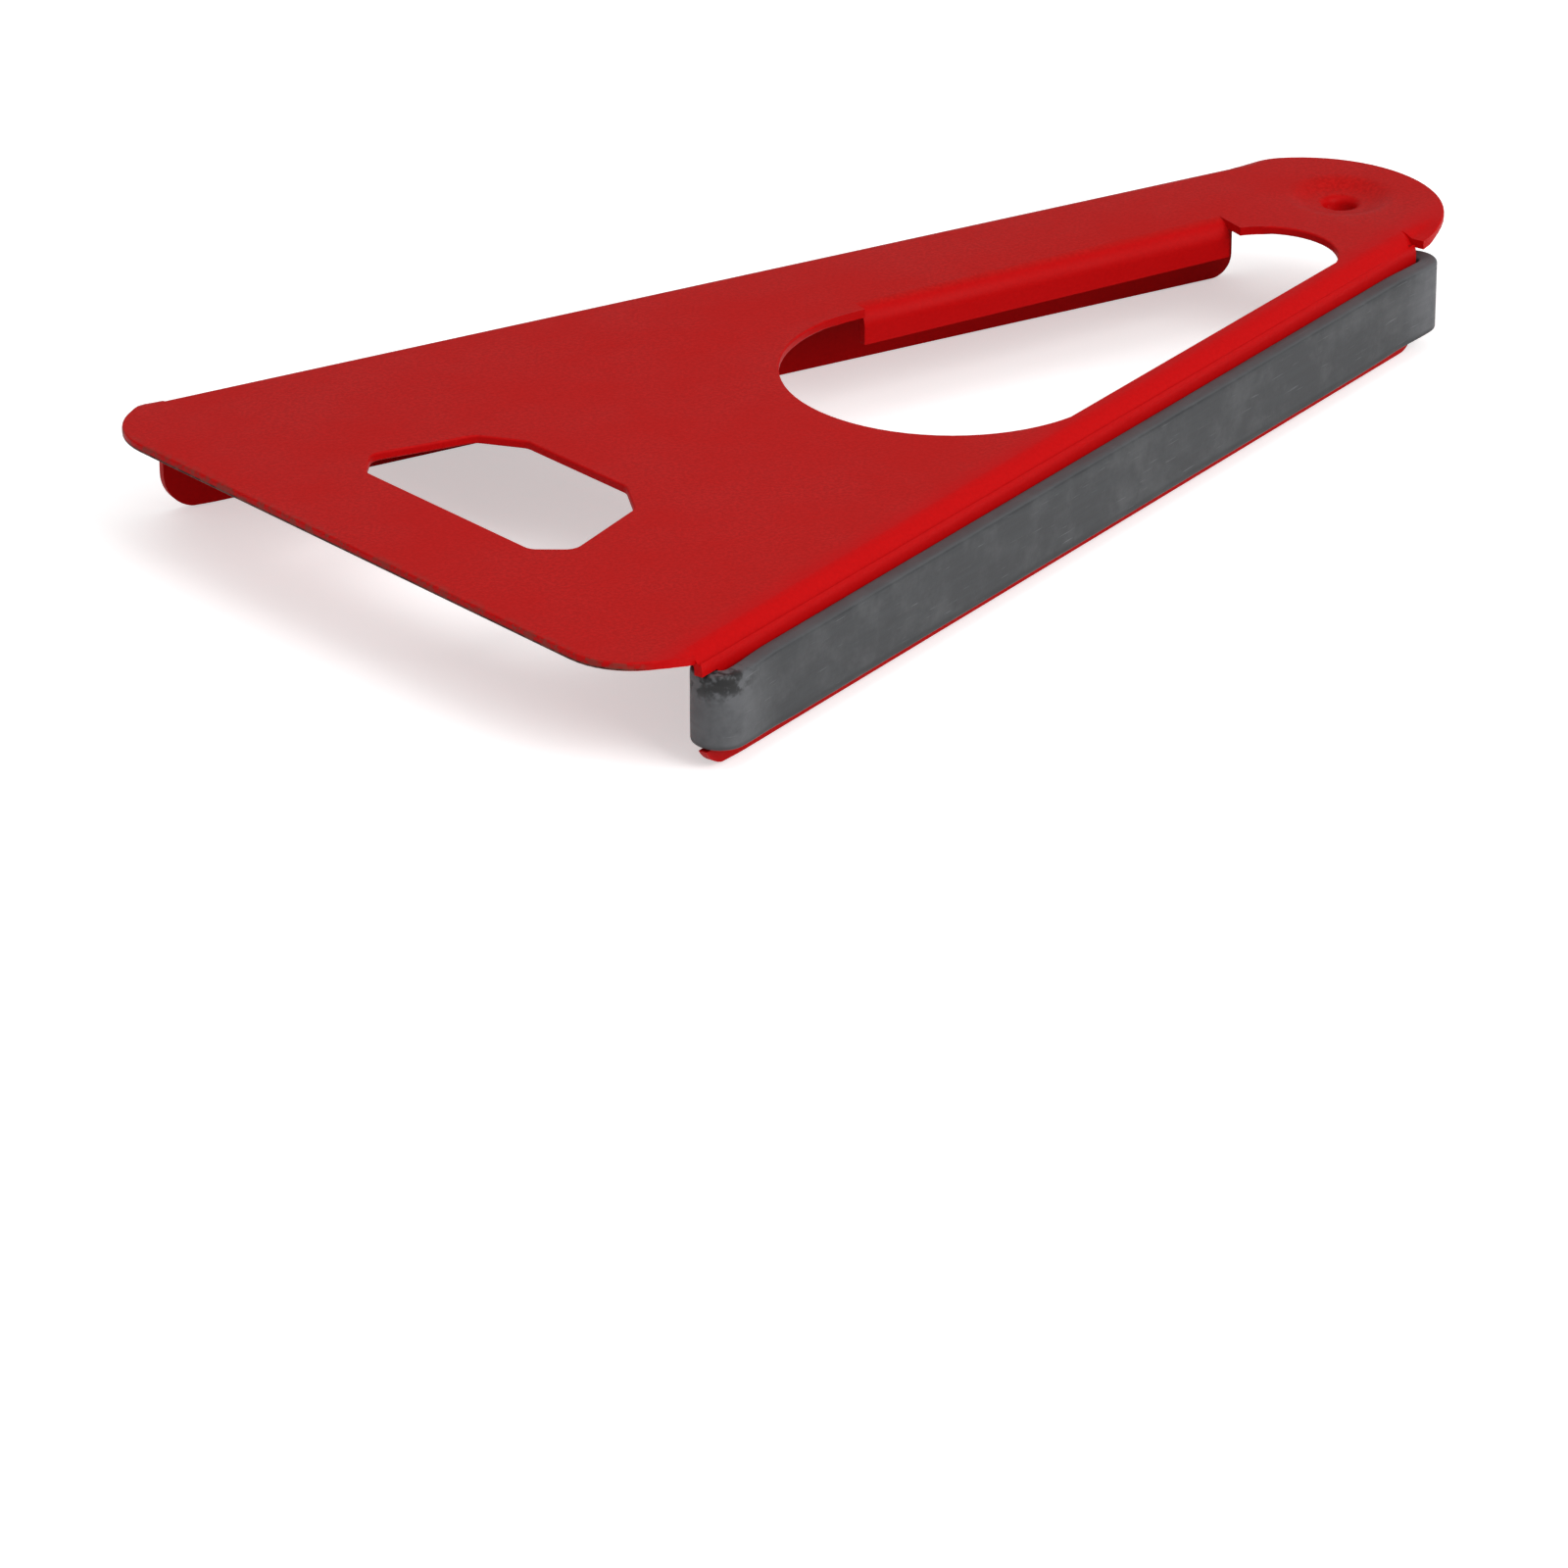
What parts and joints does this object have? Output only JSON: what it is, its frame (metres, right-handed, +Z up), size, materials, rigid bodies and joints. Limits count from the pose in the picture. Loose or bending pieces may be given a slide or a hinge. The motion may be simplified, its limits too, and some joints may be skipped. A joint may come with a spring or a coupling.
{
  "type": "jar opener",
  "caption": "Wedge-shaped screw-lid opener: a pressed steel plate with tapering bent-down jaws, an aperture for small caps, a crown-cap window and an endless rubber grip belt.",
  "frame": {"origin": "centre of the bounding box's footprint, level with the jaws' lower edges", "axes": "+X from the wide front edge to the round tip, +Y towards the bare jaw, +Z up out of the plate's top face"},
  "size_m": [0.1752, 0.1012, 0.0153],
  "materials": {
    "painted_steel": "satin red stoving enamel with a fine orange peel",
    "grip_rubber": "matt grey-black rubber"
  },
  "bodies": {
    "root": {"pressed_steel_body": "painted_steel", "rubber_belt": "grip_rubber"}
  },
  "joints": []
}
